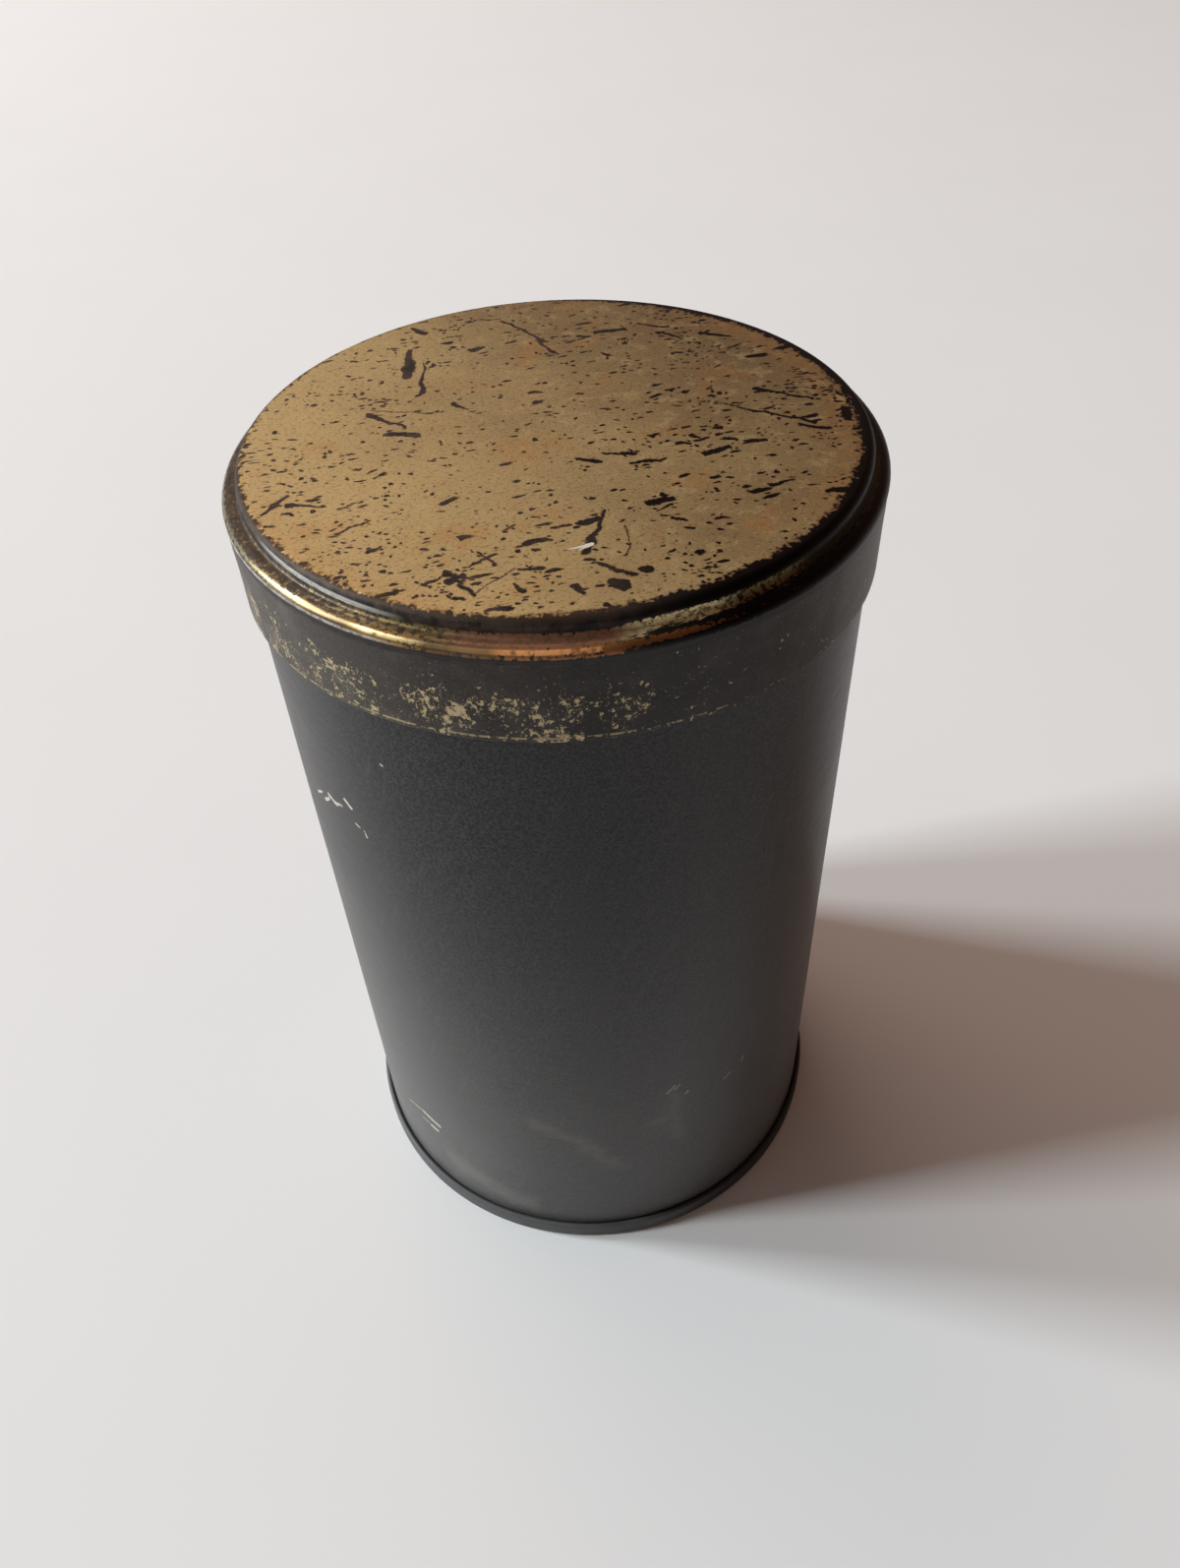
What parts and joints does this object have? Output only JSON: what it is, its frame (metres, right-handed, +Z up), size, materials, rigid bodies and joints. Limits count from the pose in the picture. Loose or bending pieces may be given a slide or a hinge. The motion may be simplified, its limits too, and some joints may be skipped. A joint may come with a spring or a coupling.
{
  "type": "round slip-lid cocoa tin",
  "caption": "Tall round tinplate canister with a slip-over lid that lifts straight off, for keeping dry powder.",
  "frame": {"origin": "middle of the foot, on the surface that the tin stands on", "axes": "+Z up along the tin's axis; the side seam of the body faces +Y, at the back"},
  "size_m": [0.0982, 0.0982, 0.1592],
  "materials": {
    "lid_lacquer": "worn gold lacquer over dark tinplate, satin",
    "body_paint": "matt charcoal paint, rubbed",
    "seam_solder": "dull solder",
    "end_paint": "dark charcoal paint, satin",
    "seam_sealant": "matt"
  },
  "bodies": {
    "tin": {"body_shell": "body_paint", "side_seam_solder": "seam_solder", "bottom_end": "end_paint", "seam_compound": "seam_sealant"},
    "lid": {"lid": "lid_lacquer"}
  },
  "joints": [
    {"name": "lid_lift", "type": "slide", "parent": "tin", "child": "lid", "axis": [0, 0, 1], "range_m": [0, 0.06]}
  ]
}
